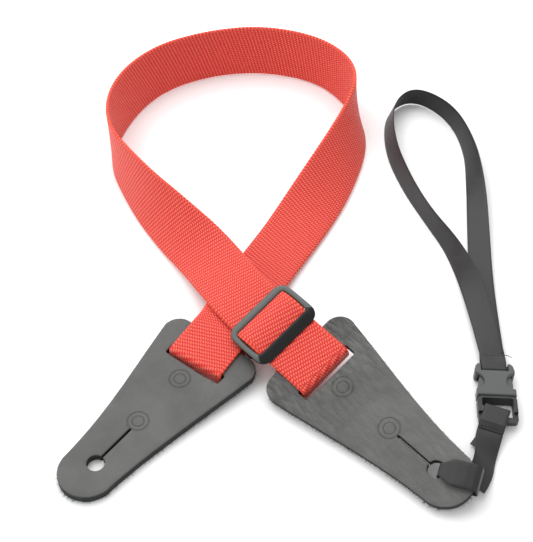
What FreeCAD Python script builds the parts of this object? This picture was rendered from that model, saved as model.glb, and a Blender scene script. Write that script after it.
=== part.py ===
import FreeCAD, Part
import math
import os

# Ukulele strap with a headstock tie, laid out flat in a loop.
# Millimetres, +Z up.  The origin is the centre of the left end tab's button
# hole, on the floor; +Y points from the end tabs toward the far side of the loop.

V = FreeCAD.Vector
Place = FreeCAD.Placement
Turn = FreeCAD.Rotation
X_AXIS = V(1, 0, 0)
Y_AXIS = V(0, 1, 0)
Z_AXIS = V(0, 0, 1)

# ---------------------------------------------------------------- leather tabs
LEATHER = 3.5                 # thickness of the leather
TIP_RADIUS = 11.9             # round end of the tab
TIP_AT = -4.3                 # hole centre to the middle of the round end
TAB_REACH = 74.6              # hole centre to the wide end
TAB_HALF_WIDTH = 23.4         # half of the wide end
TAB_CORNER = 7.2
TAB_SIDE = ((20.0, 14.5), (45.0, 19.1))  # distances from the hole and half widths between
HOLE_RADIUS = 3.5
SLIT_WIDTH = 0.9
SLIT_REACH = 19.8             # hole centre to the end of the slit
SLOT_AT = 58.8                # hole centre to the line the webbing turns about
SLOT_NEAR = 2.3               # that line to the side of the slot nearer the hole
SLOT_FAR = 3.0                # and to the side nearer the wide end
SLOT_LENGTH = 27.6
BEND_START = 7.7              # the tab is flat up to here
BEND_LENGTH = 30.0            # then curls up over this length
BEND_ANGLE = 3.2              # and stays straight at this slope
STAMP_AT = (24.4, 49.8)       # middles of the two stamped rings
STAMP_RADIUS = 4.4
STAMP_LINE = 0.7
STAMP_DEPTH = 0.3

LEFT_HEADING = 51.9
RIGHT_HEADING = 132.5
RIGHT_HOLE = V(131.2, -4.7, 4.45)
RIGHT_PITCH = 1.5
RIGHT_ROLL = -18.0
WEBBING_SKEW = 4.8            # the left webbing end sits slightly askew in its slot

# --------------------------------------------------------------------- webbing
WEBBING_WIDTH = 26.0
WEBBING = 1.6                 # thickness
FOLD_RADIUS = 1.2             # centreline radius where it turns through a slot
LEFT_FOLD_AT = 0.25           # slot line to the middle of the vertical leg
RIGHT_FOLD_AT = 0.9
TOP_AT_SLOT = 6.62            # centre height of the upper layer at the slot
TOP_AT_END = 7.5              # and just past the end of the leather
UNDER_HEIGHT = 0.85           # centre height of the layer under the leather
FLEX_REACH = 18.8             # slot line to the flex line past the leather
FOLD_CUT = 2.4                # slot line to the pivot line of the right fold
GAP = 0.2                     # between two pieces that flex against each other
TAIL_STITCH_AT = (14.0, 20.0) # distances along the strap of the two sewn rows

# Route of the strap: x, y, z of each corner and the lean of its width there.
# A lean of 90 lies flat, 0 stands on edge.
STRAP_ROUTE = [
    (46.74, 62.2, 7.5, 90), (49.75, 66.8, 7, 90), (54.8, 81.3, 4.8, 88),
    (66.6, 103.3, 3.0, 86), (81.1, 128.3, 3.4, 81), (98.6, 159.3, 9.3, 51),
    (111.3, 190.8, 12.8, 25), (109.9, 216.8, 13.3, -9), (94.1, 238.1, 13.1, -11),
    (65.1, 247.6, 13.0, -15), (36.6, 243.9, 13.1, -11), (9.6, 230.6, 13.0, -15),
    (-7.1, 205.1, 13.0, -16), (-10.8, 173.8, 13.4, 1), (6.1, 143.6, 12.8, 20),
    (25.1, 120.8, 9.8, 46), (37.6, 106.4, 8.8, 64), (47.1, 90.3, 11.0, 70),
    (58.2, 71.9, 13.65, 72)]

# ---------------------------------------------------------------------- slider
SLIDER_HALF = 16.1            # across the strap
SLIDER_NEAR = 0.7             # edge nearest the right tab, from the flex line
SLIDER_FAR = 23.8
SLIDER_CORNER = 4.5
NEAR_BAR = 5.0
FAR_BAR = 3.5
RAIL = 2.4                    # side rail, beyond the webbing edge
BAR_LOW = 1.9                 # levels above the webbing's underside
BAR_TOP = 3.4
RAIL_LOW = 1.5
PIN_NEAR = 11.6               # centre bar that carries the keeper
PIN_WIDTH = 1.8
PIN_LOW = -4.15
PIN_TOP = -1.95
KEEPER_END = 6.2
KEEPER_TURN = 14.3
KEEPER_KNEE = 10.0
KEEPER_LAYERS = (-2.25, -1.05, -5.05, -3.9)

# ---------------------------------------------------------------------- buckle
BUCKLE_AT = V(158.84, 30.5, 3.1)
BUCKLE_HEADING = 87.0
BUCKLE_HALF_WIDTH = 7.9
BUCKLE_HALF_HEIGHT = 2.9
FEMALE_LENGTH = 16.2
THROAT_HALF_WIDTH = 7.1
THROAT_HALF_HEIGHT = 1.9
CAVITY_DEPTH = 11.2
WAIST_HALF_WIDTH = 4.6
WAIST_AT = 7.0
WAIST_REACH = 3.7
FEMALE_SLOT = (12.2, 13.9)
SLOT_HALF = 5.7
BAR_HALF_HEIGHT = 0.8
BAR_ROUNDING = 0.5
WRAP_LEVEL = 1.5              # centre height of the ribbon above and below a bar
WRAP_LEG = 0.55               # bar edge to the ribbon's vertical leg
MALE_LENGTH = 12.2
MALE_BAR = 2.4
MALE_WINDOW_HALF = 6.3
MALE_WINDOW_TOP = 1.3
MALE_HALF_HEIGHT = 2.5
MALE_THIN_FROM = 7.8
THIN_HALF_HEIGHT = 1.1        # the male half is thin where the ribbon crosses it
BUCKLE_SEAM = 0.15
GUIDE_HALF_WIDTH = 1.1
GUIDE_LENGTH = 9.0
PRONG_HALF_HEIGHT = 1.65
PRONG_ROOT = 0.0
HEM_HALF_GAP = 0.3            # centre height of each layer at a sewn hem
HEM_MARGIN = 0.9              # hem to its row of stitches
HEM_PITCH = 1.6

# ---------------------------------------------------------------------- ribbon
RIBBON_WIDTH = 10.4
RIBBON = 0.5                  # thickness
RIBBON_FOLD = 0.7
HEM_AT = 22.0                 # buckle seam to the hem of the tie loop
HEM_KNEE = 17.4               # where its two layers start to close together
TIE_ROUTE = [
    (160.02, 53.2, 2.85, -90), (160.4, 74.3, 1.9, -90), (161.4, 100.3, 1.3, -83),
    (163.5, 127.3, 2.25, -70), (165.6, 154.3, 3.6, -52), (165.6, 181.3, 5.2, -20),
    (158.6, 206.8, 5.35, -9), (141.2, 221.1, 5.5, 8), (127.8, 208.6, 5.4, 20),
    (126.2, 180.8, 5.4, 24), (132.3, 153.9, 5.6, 17), (140.6, 131.8, 5.5, 8),
    (150.4, 111.8, 5.2, 24), (157.6, 84.3, 4.3, 72), (160.0, 53.2, 3.4, 90)]
BASE_SKEW = -19.0             # the lower ribbon leaves the buckle at a slant
BASE_FOLD_AT = 5.2
BASE_HEM = 11.2
BASE_KNEE = 8.0
BASE_ROUTE = [
    (154.3, 14.6, 3.1, 90), (152.9, 11.1, 3.1, 90), (150.9, 3.2, 3.3, 88),
    (148.6, -4.6, 3.9, 84), (144.4, -10.2, 3.6, 80)]
TAIL_ROUTE = [(153.2, 12.9, 1.9, 90), (151.2, 10.3, 1.8, 88), (149.1, 7.7, 1.7, 84)]
TAIL_WIDTH = 8.0
HITCH_TURN = -153.0           # direction of the hitch, from the tab's length
HITCH_HOLE_LEG = 1.2
HITCH_EDGE_LEG = 16.6
HITCH_LIFT = 0.5
HITCH_HOLE_WIDTH = 5.2
HITCH_WIDTH = 10.4

# --------------------------------------------------------------------- threads
THREAD = 0.5
THREAD_RISE = 0.3
THREAD_CORE = 0.12
STITCH_PITCH = 2.4

STATION = 7.0                 # longest step between two sections of a strip
ARC_STEP = 9.0                # degrees between two sections on a bend
RUN_SHARE = 0.45              # share of the shorter run that a bend may use


# ------------------------------------------------------------------ placements
def frame(origin, heading, pitch=0.0, roll=0.0):
    """A placement whose X axis has the heading; pitch raises X, roll raises Y."""
    turn = Turn(Z_AXIS, heading)
    turn = turn.multiply(Turn(Y_AXIS, -pitch))
    turn = turn.multiply(Turn(X_AXIS, roll))
    return Place(origin, turn)


def moved(shape, place):
    out = shape.copy()
    out.Placement = place.multiply(out.Placement)
    return out


LEFT = frame(V(0, 0, 0), LEFT_HEADING)
LEFT_SLOT = LEFT.multiply(Place(V(SLOT_AT, 0, 0), Turn(Z_AXIS, WEBBING_SKEW)))
RIGHT = frame(RIGHT_HOLE, RIGHT_HEADING, RIGHT_PITCH, RIGHT_ROLL)
RIGHT_SLOT = RIGHT.multiply(Place(V(SLOT_AT, 0, 0), Turn()))
RUN = RIGHT_SLOT.multiply(Place(V(FLEX_REACH, 0, TOP_AT_END), Turn(Y_AXIS, RIGHT_PITCH)))
RUN_UNDERSIDE = RUN.multiply(Place(V(0, 0, -WEBBING / 2), Turn()))
BUCKLE = frame(BUCKLE_AT, BUCKLE_HEADING)
BASE_FOLD = BUCKLE.multiply(Place(V(-BASE_FOLD_AT, 0, 0), Turn(Z_AXIS, 180 + BASE_SKEW)))
HITCH = RIGHT.multiply(Place(V(0, 0, 0), Turn(Z_AXIS, HITCH_TURN)))


# ---------------------------------------------------------------- small helpers
def box(x0, x1, y0, y1, z0, z1):
    return Part.makeBox(x1 - x0, y1 - y0, z1 - z0, V(x0, y0, z0))


def line(a, b):
    return Part.LineSegment(a, b).toShape()


def arc(a, mid, b):
    return Part.Arc(a, mid, b).toShape()


def prism(edges, low, high):
    """Closed outline in XY raised between two heights."""
    face = Part.Face(Part.Wire(edges))
    face.translate(V(0, 0, low))
    return face.extrude(V(0, 0, high - low))


def mirrored_y(shape):
    return shape.mirror(V(0, 0, 0), Y_AXIS)


def rounded_plate(x0, x1, half, corner, low, high, bow=0.0):
    """Plate with round corners; its two sides along X may bow outward."""
    c = corner
    d = c * (1 - math.sqrt(0.5))
    edges = [
        line(V(x0, -half + c, 0), V(x0, half - c, 0)),
        arc(V(x0, half - c, 0), V(x0 + d, half - d, 0), V(x0 + c, half, 0)),
        arc(V(x0 + c, half, 0), V((x0 + x1) / 2, half + bow, 0), V(x1 - c, half, 0))
        if bow else line(V(x0 + c, half, 0), V(x1 - c, half, 0)),
        arc(V(x1 - c, half, 0), V(x1 - d, half - d, 0), V(x1, half - c, 0)),
        line(V(x1, half - c, 0), V(x1, -half + c, 0)),
        arc(V(x1, -half + c, 0), V(x1 - d, -half + d, 0), V(x1 - c, -half, 0)),
        arc(V(x1 - c, -half, 0), V((x0 + x1) / 2, -half - bow, 0), V(x0 + c, -half, 0))
        if bow else line(V(x1 - c, -half, 0), V(x0 + c, -half, 0)),
        arc(V(x0 + c, -half, 0), V(x0 + d, -half + d, 0), V(x0, -half + c, 0))]
    return prism(edges, low, high)


def corner_arc(a, b, c, radius):
    """Tangent points, middle and centre of the bend that rounds corner b."""
    back = (a - b).normalize()
    ahead = (c - b).normalize()
    half = back.getAngle(ahead) / 2
    reach = radius / math.tan(half)
    to_centre = (back + ahead).normalize()
    centre = b + to_centre * (radius / math.sin(half))
    return b + back * reach, centre - to_centre * radius, b + ahead * reach, centre


def side_edges(points, radius, shift):
    """One side of a folded band: its centreline in XZ, moved sideways by shift."""
    def normal(a, b):
        d = (b - a).normalize()
        return V(-d.z, 0, d.x) * shift

    edges = []
    here = points[0] + normal(points[0], points[1])
    for a, b, c in zip(points, points[1:], points[2:]):
        start, mid, end, centre = corner_arc(a, b, c, radius)
        p = start + normal(a, b)
        q = end + normal(b, c)
        m = centre + (mid - centre).normalize() * (p - centre).Length
        edges.append(line(here, p))
        edges.append(arc(p, m, q))
        here = q
    last = points[-1] + normal(points[-2], points[-1])
    edges.append(line(here, last))
    return edges


def folded_band(profile, radius, thickness, width):
    """Band of constant width folded in its own XZ plane, centred across Y."""
    points = [V(x, 0, z) for x, z in profile]
    upper = side_edges(points, radius, thickness / 2)
    lower = side_edges(points, radius, -thickness / 2)
    ends = [line(upper[0].firstVertex().Point, lower[0].firstVertex().Point),
            line(upper[-1].lastVertex().Point, lower[-1].lastVertex().Point)]
    face = Part.Face(Part.Wire(Part.__sortEdges__(upper + lower + ends)))
    face.translate(V(0, -width / 2, 0))
    return face.extrude(V(0, width, 0))


# ------------------------------------------------------------- twisted strips
def stations(route):
    """Points, directions and leans along straight runs joined by tangent bends."""
    pts = [V(x, y, z) for x, y, z, lean in route]
    leans = [lean for x, y, z, lean in route]
    out = []

    def put(p, d, lean):
        out.append((p, V(d).normalize(), lean))

    def run(a, b, la, lb, with_end):
        n = max(1, int(math.ceil((b - a).Length / STATION)))
        for i in range(n + 1 if with_end else n):
            f = i / n
            put(a + (b - a) * f, b - a, la + (lb - la) * f)

    here, lean_here = pts[0], leans[0]
    for i in range(1, len(pts) - 1):
        a, b, c = pts[i - 1], pts[i], pts[i + 1]
        shorter = min((b - a).Length, (c - b).Length)
        turn = (b - a).getAngle(c - b)
        radius = RUN_SHARE * shorter / math.tan(turn / 2)
        start, mid, end, centre = corner_arc(a, b, c, radius)
        share_in = (start - a).Length / (b - a).Length
        share_out = (end - b).Length / (c - b).Length
        lean_in = leans[i - 1] + (leans[i] - leans[i - 1]) * share_in
        lean_out = leans[i] + (leans[i + 1] - leans[i]) * share_out
        run(here, start, lean_here, lean_in, False)
        axis = (b - a).cross(c - b).normalize()
        steps = max(2, int(math.ceil(math.degrees(turn) / ARC_STEP)))
        for k in range(steps):
            spin = Turn(axis, math.degrees(turn) * k / steps)
            p = centre + spin.multVec(start - centre)
            put(p, spin.multVec(b - a), lean_in + (lean_out - lean_in) * k / steps)
        here, lean_here = end, lean_out
        stations.least_radius = min(stations.least_radius, radius)
    run(here, pts[-1], lean_here, leans[-1], True)
    return out


stations.least_radius = 1e9


def width_direction(d, lean):
    side = V(-d.y, d.x, 0).normalize()
    up = d.cross(side)
    a = math.radians(lean)
    return up * math.cos(a) + side * math.sin(a)


def strip(name, route, width, thickness):
    """Solid strip along a route, lofted through rectangular sections."""
    stations.least_radius = 1e9
    wires = []
    length = 0.0
    last = None
    for p, d, lean in stations(route):
        w = width_direction(d, lean) * (width / 2)
        n = w.cross(d).normalize() * (thickness / 2)
        corners = [p + w + n, p + w - n, p - w - n, p - w + n]
        wires.append(Part.makePolygon(corners + corners[:1]))
        if last is not None:
            length += (p - last).Length
        last = p
    solid = Part.makeLoft(wires, True, True)
    expected = length * width * thickness
    print("%s: length %.1f mm, tightest bend %.1f mm, volume %.0f of %.0f mm3" % (
        name, length, stations.least_radius, solid.Volume, expected))
    return solid


def stitch_row(length, pitch=STITCH_PITCH):
    """A row of stitches across Y, standing on z = 0."""
    row = box(-THREAD / 4, THREAD / 4, -length / 2, length / 2, 0, THREAD_CORE)
    count = int(length // pitch)
    for i in range(count):
        middle = (i - (count - 1) / 2) * pitch
        reach = pitch * 0.34
        stitch = box(-THREAD / 2, THREAD / 2, middle - reach, middle + reach, 0, THREAD_RISE)
        row = row.fuse(stitch)
    return row.removeSplitter()


# ---------------------------------------------------------------- leather tabs
def tab_outline():
    lean = math.radians(8.5)          # where the round tip meets the long side
    shoulder = TAB_REACH - TAB_CORNER
    side = TAB_HALF_WIDTH
    tangent = V(TIP_AT - TIP_RADIUS * math.sin(lean), TIP_RADIUS * math.cos(lean), 0)
    half = [tangent] + [V(u, v, 0) for u, v in TAB_SIDE] + [V(shoulder, side, 0)]
    low = [V(p.x, -p.y, 0) for p in half]
    upper = Part.BSplineCurve()
    upper.interpolate(half)
    lower = Part.BSplineCurve()
    lower.interpolate(low)
    d = TAB_CORNER * (1 - math.sqrt(0.5))
    return [
        arc(low[0], V(TIP_AT - TIP_RADIUS, 0, 0), half[0]),
        upper.toShape(),
        arc(half[-1], V(TAB_REACH - d, side - d, 0), V(TAB_REACH, side - TAB_CORNER, 0)),
        line(V(TAB_REACH, side - TAB_CORNER, 0), V(TAB_REACH, TAB_CORNER - side, 0)),
        arc(V(TAB_REACH, TAB_CORNER - side, 0), V(TAB_REACH - d, d - side, 0), low[-1]),
        lower.toShape()]


def tab_rise(u):
    """Height of the leather's underside at a distance from the hole."""
    slope = math.radians(BEND_ANGLE)
    if u <= BEND_START:
        return 0.0
    radius = BEND_LENGTH / slope
    if u <= BEND_START + BEND_LENGTH:
        return radius * (1 - math.cos((u - BEND_START) / radius))
    start = radius * (1 - math.cos(slope))
    return start + (u - BEND_START - BEND_LENGTH) * math.tan(slope)


def leather_layer(low, high):
    """The bent sheet between two depths, wide enough to cover the outline."""
    near = TIP_AT - TIP_RADIUS - 1
    far = TAB_REACH + 1
    mid = BEND_START + BEND_LENGTH / 2
    end = BEND_START + BEND_LENGTH

    def row(z):
        return [V(near, 0, z), V(BEND_START, 0, z), V(mid, 0, z + tab_rise(mid)),
                V(end, 0, z + tab_rise(end)), V(far, 0, z + tab_rise(far))]

    a = row(low)
    b = row(high)
    edges = [line(a[0], a[1]), arc(a[1], a[2], a[3]), line(a[3], a[4]), line(a[4], b[4]),
             line(b[4], b[3]), arc(b[3], b[2], b[1]), line(b[1], b[0]), line(b[0], a[0])]
    face = Part.Face(Part.Wire(edges))
    half = TAB_HALF_WIDTH + 1
    face.translate(V(0, -half, 0))
    return face.extrude(V(0, 2 * half, 0))


def end_tab():
    body = prism(tab_outline(), -1, 12).common(leather_layer(0, LEATHER))
    tall = 14
    body = body.cut(Part.makeCylinder(HOLE_RADIUS, tall, V(0, 0, -1)))
    slit = box(0, SLIT_REACH, -SLIT_WIDTH / 2, SLIT_WIDTH / 2, -1, tall)
    body = body.cut(slit)
    slot = rounded_plate(SLOT_AT - SLOT_NEAR, SLOT_AT + SLOT_FAR, SLOT_LENGTH / 2, 1.0, -1, tall)
    body = body.cut(slot)
    skin = leather_layer(LEATHER - STAMP_DEPTH, LEATHER + 1)
    for at in STAMP_AT:
        ring = Part.makeCylinder(STAMP_RADIUS, tall, V(at, 0, -1))
        ring = ring.cut(Part.makeCylinder(STAMP_RADIUS - STAMP_LINE, tall, V(at, 0, -1)))
        body = body.cut(ring.common(skin))
    return body


# --------------------------------------------------------------------- webbing
def webbing_end_left():
    profile = [(FLEX_REACH, TOP_AT_END), (LEFT_FOLD_AT, TOP_AT_SLOT - 0.05),
               (LEFT_FOLD_AT, UNDER_HEIGHT), (FLEX_REACH - GAP, UNDER_HEIGHT)]
    return moved(folded_band(profile, FOLD_RADIUS, WEBBING, WEBBING_WIDTH), LEFT_SLOT)


def webbing_end_right():
    profile = [(FOLD_CUT, TOP_AT_SLOT - 0.02), (RIGHT_FOLD_AT, TOP_AT_SLOT - 0.05),
               (RIGHT_FOLD_AT, UNDER_HEIGHT), (FLEX_REACH - GAP, UNDER_HEIGHT)]
    return moved(folded_band(profile, FOLD_RADIUS, WEBBING, WEBBING_WIDTH), RIGHT_SLOT)


def strap_route():
    """The full route, with its straight run through the slider and over the tab."""
    route = list(STRAP_ROUTE)
    lean = 90 + RIGHT_ROLL
    flex = RUN.Base
    cut = RIGHT_SLOT.multVec(V(FOLD_CUT + GAP / 4, 0, TOP_AT_SLOT))
    route.append((flex.x, flex.y, flex.z, lean))
    route.append((cut.x, cut.y, cut.z, lean))
    return route


def webbing_tail():
    """The strap's cut end, turned back and sewn under its own first stretch."""
    start = LEFT_SLOT.multVec(V(FLEX_REACH + 2.2, 0, 0))
    route = [(start.x, start.y, 1.2, 90), (49.6, 66.5, 3.2, 90), (54.8, 81.3, 2.95, 88),
             (57.8, 87.1, 2.35, 87)]
    return strip("webbing_tail_left", route, WEBBING_WIDTH, WEBBING)


def seat(route, distance, lift):
    """Placement on a route: X along it, Y across it, Z out of its face."""
    last = None
    walked = 0.0
    for p, d, lean in stations(route):
        if last is not None:
            step = (p - last).Length
            if walked + step >= distance:
                at = last + (p - last) * ((distance - walked) / step)
                w = width_direction(d, lean)
                n = d.cross(w).normalize()
                return Place(at + n * lift, Turn(d, w, n, "XYZ"))
            walked += step
        last = p
    raise ValueError("beyond the end of the route")


def tail_stitches():
    """Two rows across the doubled webbing."""
    rows = []
    for distance in TAIL_STITCH_AT:
        place = seat(STRAP_ROUTE, distance, WEBBING / 2 + 0.05)
        rows.append(moved(stitch_row(WEBBING_WIDTH - 4), place))
    return Part.Compound(rows)


# ---------------------------------------------------------------------- slider
def tri_glide():
    side = SLIDER_HALF - RAIL
    outer = rounded_plate(SLIDER_NEAR, SLIDER_FAR, SLIDER_HALF, SLIDER_CORNER,
                          RAIL_LOW, BAR_TOP, 0.35)
    window = rounded_plate(SLIDER_NEAR + NEAR_BAR, SLIDER_FAR - FAR_BAR, side, 1.6,
                           RAIL_LOW - 1, BAR_TOP + 1)
    body = outer.cut(window)
    relief = box(SLIDER_NEAR - 1, SLIDER_FAR + 1, -side, side, RAIL_LOW - 1, BAR_LOW)
    body = body.cut(relief)
    top = [e for e in body.Edges if e.BoundBox.ZMin > BAR_TOP - 0.01]
    body = body.makeFillet(0.6, top)
    pin = box(PIN_NEAR, PIN_NEAR + PIN_WIDTH, -SLIDER_HALF, SLIDER_HALF, PIN_LOW, PIN_TOP)
    along = [e for e in pin.Edges if e.BoundBox.YLength > SLIDER_HALF]
    body = body.fuse(pin.makeFillet(0.6, along))
    for y in (-SLIDER_HALF, side):
        post = box(PIN_NEAR - 0.8, PIN_NEAR + PIN_WIDTH + 0.9, y, y + RAIL, PIN_LOW, RAIL_LOW + 0.5)
        body = body.fuse(post)
    return moved(body.removeSplitter(), RUN_UNDERSIDE)


def webbing_keeper():
    high_end, high, low, low_end = KEEPER_LAYERS
    profile = [(KEEPER_END, high_end), (KEEPER_KNEE, high), (KEEPER_TURN, high),
               (KEEPER_TURN, low), (KEEPER_KNEE, low), (KEEPER_END, low_end)]
    return moved(folded_band(profile, 1.3, WEBBING, WEBBING_WIDTH), RUN_UNDERSIDE)


def keeper_stitches():
    row = stitch_row(WEBBING_WIDTH - 4)
    row.rotate(V(0, 0, 0), X_AXIS, 180)
    tilt = Place(V(7.4, 0, -5.1), Turn(Y_AXIS, 17))
    return moved(row, RUN_UNDERSIDE.multiply(tilt))


# ---------------------------------------------------------------------- buckle
def female_outline():
    half = BUCKLE_HALF_WIDTH
    near = WAIST_AT - WAIST_REACH
    far = WAIST_AT + WAIST_REACH
    end = FEMALE_LENGTH
    corner = 2.4
    d = corner * (1 - math.sqrt(0.5))
    a, b = V(near, half, 0), V(far, half, 0)
    waist = V(WAIST_AT, WAIST_HALF_WIDTH, 0)
    side = [line(V(0, half, 0), a), arc(a, waist, b),
            arc(b, V((far + end - corner) / 2, half + 0.3, 0), V(end - corner, half, 0)),
            arc(V(end - corner, half, 0), V(end - d, half - d, 0), V(end, half - corner, 0))]
    other = [mirrored_y(e) for e in side]
    ends = [line(V(0, -half, 0), V(0, half, 0)),
            line(V(end, half - corner, 0), V(end, corner - half, 0))]
    return Part.__sortEdges__(side + other + ends)


def round_bar(x0, x1, half):
    """Ribbon bar with rounded long edges, its ends sunk in the frame."""
    bar = box(x0, x1, -half - 0.5, half + 0.5, -BAR_HALF_HEIGHT, BAR_HALF_HEIGHT)
    along = [e for e in bar.Edges if e.BoundBox.YLength > half]
    return bar.makeFillet(BAR_ROUNDING, along)


def buckle_female():
    h = BUCKLE_HALF_HEIGHT
    body = prism(female_outline(), -h, h)
    rims = [e for e in body.Edges if e.BoundBox.ZLength < 0.01]
    body = body.makeFillet(0.7, rims)
    t = THROAT_HALF_HEIGHT
    body = body.cut(box(-1, CAVITY_DEPTH, -THROAT_HALF_WIDTH, THROAT_HALF_WIDTH, -t, t))
    body = body.cut(box(FEMALE_SLOT[0], FEMALE_SLOT[1], -SLOT_HALF, SLOT_HALF, -h - 1, h + 1))
    body = body.cut(box(FEMALE_SLOT[1] - 0.01, FEMALE_LENGTH + 1, -SLOT_HALF, SLOT_HALF,
                        -h - 1, h + 1))
    return moved(body.fuse(round_bar(FEMALE_SLOT[1], FEMALE_LENGTH, SLOT_HALF)), BUCKLE)


def buckle_male():
    h = MALE_HALF_HEIGHT
    body = rounded_plate(-MALE_LENGTH, -BUCKLE_SEAM, BUCKLE_HALF_WIDTH, 1.6, -h, h)
    rims = [e for e in body.Edges if e.BoundBox.ZLength < 0.01]
    body = body.makeFillet(0.5, rims)
    window = rounded_plate(-MALE_LENGTH + MALE_BAR, -MALE_WINDOW_TOP, MALE_WINDOW_HALF, 0.8,
                           -h - 1, h + 1)
    body = body.cut(window)
    for low, high in ((THIN_HALF_HEIGHT, h + 1), (-h - 1, -THIN_HALF_HEIGHT)):
        body = body.cut(box(-MALE_LENGTH - 1, -MALE_THIN_FROM, -BUCKLE_HALF_WIDTH - 1,
                            BUCKLE_HALF_WIDTH + 1, low, high))
    guide = rounded_plate(-MALE_WINDOW_TOP, GUIDE_LENGTH, GUIDE_HALF_WIDTH, 0.8,
                          -BAR_HALF_HEIGHT, BAR_HALF_HEIGHT)
    return moved(body.fuse(guide).removeSplitter(), BUCKLE)


def prong(side):
    """Sprung arm with a rounded pad that shows in the buckle's waist."""
    h = PRONG_HALF_HEIGHT
    edges = [
        line(V(PRONG_ROOT, 3.3, 0), V(PRONG_ROOT, 4.9, 0)),
        arc(V(PRONG_ROOT, 4.9, 0), V(2.0, 5.5, 0), V(3.4, 6.75, 0)),
        arc(V(3.4, 6.75, 0), V(6.4, 6.98, 0), V(9.4, 6.3, 0)),
        arc(V(9.4, 6.3, 0), V(10.5, 4.9, 0), V(9.0, 4.0, 0)),
        line(V(9.0, 4.0, 0), V(PRONG_ROOT, 3.3, 0))]
    body = prism(edges, -h, h)
    if side < 0:
        body = mirrored_y(body)
    return moved(body, BUCKLE)


# ------------------------------------------------------------------ black tie
def tie_loop_wrap():
    """Both ends of the tie loop, folded round the buckle bar and hemmed."""
    leg = FEMALE_SLOT[1] - WRAP_LEG
    level = WRAP_LEVEL
    profile = [(HEM_AT, HEM_HALF_GAP), (HEM_KNEE, level), (leg, level), (leg, -level),
               (HEM_KNEE, -level), (HEM_AT, -HEM_HALF_GAP)]
    return moved(folded_band(profile, RIBBON_FOLD, RIBBON, RIBBON_WIDTH), BUCKLE)


def hem_stitches(hem, knee):
    """A fine row of stitches on the slope where a wrap's two layers close."""
    slope = math.atan((WRAP_LEVEL - HEM_HALF_GAP) / (hem - knee))
    height = HEM_HALF_GAP + HEM_MARGIN * math.tan(slope) + RIBBON / 2 / math.cos(slope) + 0.04
    tilt = Place(V(hem - HEM_MARGIN, 0, height), Turn(Y_AXIS, math.degrees(slope)))
    return moved(stitch_row(RIBBON_WIDTH - 0.6, HEM_PITCH), tilt)


def tie_hem_stitches():
    return moved(hem_stitches(HEM_AT, HEM_KNEE), BUCKLE)


def tie_base_wrap():
    """The lower ribbon folded round the buckle's other bar, at a slant."""
    level = WRAP_LEVEL
    profile = [(BASE_HEM, HEM_HALF_GAP), (BASE_KNEE, level), (0, level), (0, -level),
               (BASE_KNEE, -level), (BASE_HEM, -HEM_HALF_GAP)]
    return moved(folded_band(profile, RIBBON_FOLD, RIBBON, RIBBON_WIDTH), BASE_FOLD)


def tie_base_stitches():
    return moved(hem_stitches(BASE_HEM, BASE_KNEE), BASE_FOLD)


def hitch_plan():
    """Barrel outline of the hitch, narrow where it dips into the hole."""
    a = HITCH_HOLE_WIDTH / 2
    b = HITCH_WIDTH / 2
    near = HITCH_HOLE_LEG - 1
    neck = HITCH_HOLE_LEG + 0.6
    far = HITCH_EDGE_LEG + 1
    edges = [line(V(near, -a, 0), V(near, a, 0)), line(V(near, a, 0), V(neck, a, 0)),
             arc(V(neck, a, 0), V(neck + 2.6, b - 0.7, 0), V(neck + 6, b, 0)),
             line(V(neck + 6, b, 0), V(far, b - 0.3, 0)),
             line(V(far, b - 0.3, 0), V(far, 0.3 - b, 0)),
             line(V(far, 0.3 - b, 0), V(neck + 6, -b, 0)),
             arc(V(neck + 6, -b, 0), V(neck + 2.6, 0.7 - b, 0), V(neck, -a, 0)),
             line(V(neck, -a, 0), V(near, -a, 0))]
    return prism(edges, -4, 8)


def tie_hitch(over):
    """Half of the hitch: over the leather, or under it."""
    middle = LEATHER / 2
    level = LEATHER + HITCH_LIFT if over else -HITCH_LIFT
    profile = [(HITCH_HOLE_LEG, middle), (HITCH_HOLE_LEG, level),
               (HITCH_EDGE_LEG, level), (HITCH_EDGE_LEG, middle)]
    band = folded_band(profile, RIBBON_FOLD, RIBBON, HITCH_WIDTH + 1)
    return moved(band.common(hitch_plan()), HITCH)


# ----------------------------------------------------------------------- build
def export(name, shape):
    solids = shape.Solids
    if not shape.isValid() or not solids:
        print("NOT VALID:", name)
    if len(solids) == 1:
        shape = solids[0]
    shape.exportStep("parts/%s.step" % name)
    b = shape.BoundBox
    print("%-20s %d solid  x %.1f..%.1f  y %.1f..%.1f  z %.2f..%.2f  %.0f mm3" % (
        name, len(solids), b.XMin, b.XMax, b.YMin, b.YMax, b.ZMin, b.ZMax, shape.Volume))


def show_point(label, place, point):
    p = place.multVec(point)
    print("%-16s %.3f %.3f %.3f" % (label, p.x, p.y, p.z))


def show_axis(label, place, direction):
    d = place.Rotation.multVec(direction)
    print("%-16s %.5f %.5f %.5f" % (label, d.x, d.y, d.z))


os.makedirs("parts", exist_ok=True)
tab = end_tab()
export("end_tab_left", moved(tab, LEFT))
export("end_tab_right", moved(tab, RIGHT))
export("webbing_end_left", webbing_end_left())
export("webbing_end_right", webbing_end_right())
export("webbing_loop", strip("webbing_loop", strap_route(), WEBBING_WIDTH, WEBBING))
export("webbing_tail_left", webbing_tail())
export("webbing_tail_stitches", tail_stitches())
export("slider_tri_glide", tri_glide())
export("webbing_keeper", webbing_keeper())
export("webbing_keeper_stitches", keeper_stitches())
export("buckle_female", buckle_female())
export("buckle_male", buckle_male())
export("buckle_prong_left", prong(1))
export("buckle_prong_right", prong(-1))
export("tie_loop_ribbon", strip("tie_loop_ribbon", TIE_ROUTE, RIBBON_WIDTH, RIBBON))
export("tie_loop_wrap", tie_loop_wrap())
export("tie_hem_stitches", tie_hem_stitches())
export("tie_base_wrap", tie_base_wrap())
export("tie_base_stitches", tie_base_stitches())
export("tie_base_ribbon", strip("tie_base_ribbon", BASE_ROUTE, RIBBON_WIDTH, RIBBON))
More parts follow.
